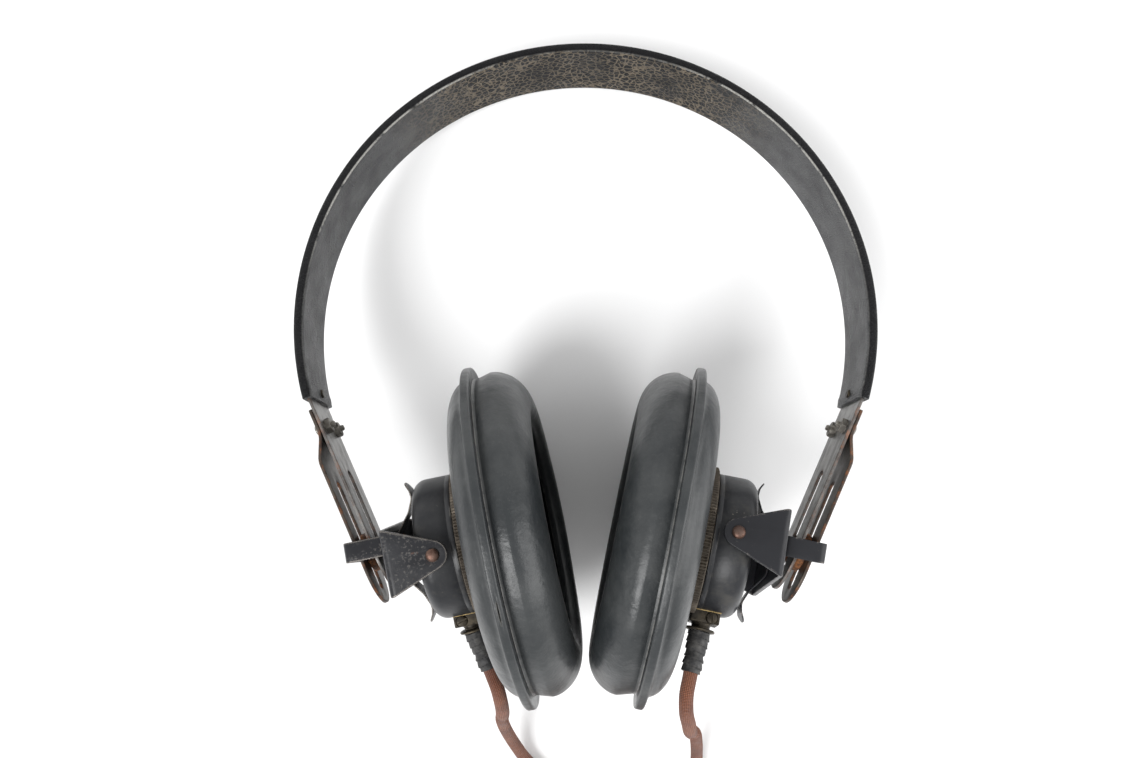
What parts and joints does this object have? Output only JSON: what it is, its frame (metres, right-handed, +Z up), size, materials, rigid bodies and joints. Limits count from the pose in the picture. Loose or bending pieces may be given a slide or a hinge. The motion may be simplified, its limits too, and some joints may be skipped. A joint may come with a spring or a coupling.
{
  "type": "aviation headset",
  "caption": "Double headphone with a leather-covered spring band, sliding and swivelling yokes, large round rubber ear cups and a Y-shaped braided cord.",
  "frame": {"origin": "on the table under the middle of the headset without its cords", "axes": "+X to the right, +Y towards the crown of the band, +Z up from the table that it lies on"},
  "size_m": [0.1752, 0.3218, 0.1035],
  "materials": {
    "leather": "black grained leather, creased and crackled at the crown",
    "strip_steel": "grey spring steel with brown rust along the edges",
    "screw": "dull browned steel",
    "rivet": "worn coppery brown",
    "black_paint": "black enamel, chipped and rubbed bright along its bends",
    "rusty_iron": "rusty plain iron",
    "rubber": "dark blue-grey moulded rubber with a soft sheen",
    "ring_metal": "brown-grey knurled metal",
    "bakelite": "black pressed bakelite",
    "plain_steel": "plain steel",
    "copper": "enamelled copper wire",
    "gland_brass": "dark tarnished brass",
    "plug_brass": "worn brass",
    "tape": "black tape binding",
    "cord": "reddish-brown cotton braid"
  },
  "bodies": {
    "headband": {"leather_cover": "leather", "spring_band": "strip_steel", "left_outer_strip": "strip_steel", "left_cover_rivet": "rivet", "left_strip_screw_near": "screw", "left_strip_screw_far": "screw", "left_strip_nut_near": "screw", "left_strip_nut_far": "screw", "right_outer_strip": "strip_steel", "right_cover_rivet": "rivet", "right_strip_screw_near": "screw", "right_strip_screw_far": "screw", "right_strip_nut_near": "screw", "right_strip_nut_far": "screw", "left_cord_tail": "cord", "right_cord_tail": "cord", "main_cord_coil": "cord", "cord_splitter": "tape", "cord_tie": "tape", "plug_body": "bakelite", "plug_pin_inner": "plug_brass", "plug_pin_outer": "plug_brass"},
    "left_slider": {"left_stirrup": "black_paint", "left_friction_disc": "rusty_iron", "left_swivel_bolt": "rusty_iron"},
    "left_yoke_body": {"left_yoke": "black_paint", "left_leaf_spring": "black_paint"},
    "left_cup": {"left_rear_shell": "rubber", "left_ear_cushion": "rubber", "left_capsule_can": "black_paint", "left_knurled_ring": "ring_metal", "left_receiver_cap": "bakelite", "left_diaphragm": "plain_steel", "left_magnet": "plain_steel", "left_coil_upper": "copper", "left_coil_lower": "copper", "left_pivot_rivet_near": "rivet", "left_pivot_rivet_far": "rivet", "left_cable_gland": "gland_brass", "left_clamp_screw": "gland_brass", "left_sleeve": "tape"},
    "right_slider": {"right_stirrup": "black_paint", "right_friction_disc": "rusty_iron", "right_swivel_bolt": "rusty_iron"},
    "right_yoke_body": {"right_yoke": "black_paint", "right_leaf_spring": "black_paint"},
    "right_cup": {"right_rear_shell": "rubber", "right_ear_cushion": "rubber", "right_capsule_can": "black_paint", "right_knurled_ring": "ring_metal", "right_receiver_cap": "bakelite", "right_diaphragm": "plain_steel", "right_magnet": "plain_steel", "right_coil_upper": "copper", "right_coil_lower": "copper", "right_pivot_rivet_near": "rivet", "right_pivot_rivet_far": "rivet", "right_cable_gland": "gland_brass", "right_clamp_screw": "gland_brass", "right_sleeve": "tape"}
  },
  "joints": [
    {"name": "left_height", "type": "slide", "parent": "headband", "child": "left_slider", "axis": [-0.4195, 0.8789, -0.2273], "range_m": [0, 0.02]},
    {"name": "left_swivel", "type": "hinge", "parent": "left_slider", "child": "left_yoke_body", "pos_m": [-0.06217, -0.05393, 0.05241], "axis": [-0.9796, -0.1994, 0.0251], "range_deg": [-19, 35]},
    {"name": "left_tilt", "type": "hinge", "parent": "left_yoke_body", "child": "left_cup", "pos_m": [-0.04276, -0.0535, 0.05251], "axis": [0.0087, -0.1668, -0.986], "range_deg": [0, 15], "stiffness_Nm_per_rad": 0.3, "deforming": ["left_leaf_spring", "left_cord_tail"]},
    {"name": "right_height", "type": "slide", "parent": "headband", "child": "right_slider", "axis": [0.4195, 0.8789, -0.2273], "range_m": [0, 0.02]},
    {"name": "right_swivel", "type": "hinge", "parent": "right_slider", "child": "right_yoke_body", "pos_m": [0.06217, -0.05363, 0.05357], "axis": [0.9786, -0.1802, 0.0996], "range_deg": [-10, 42]},
    {"name": "right_tilt", "type": "hinge", "parent": "right_yoke_body", "child": "right_cup", "pos_m": [0.04276, -0.05332, 0.05307], "axis": [-0.017, 0.4114, 0.9113], "range_deg": [0, 15], "stiffness_Nm_per_rad": 0.3, "deforming": ["right_leaf_spring", "right_cord_tail"]}
  ]
}
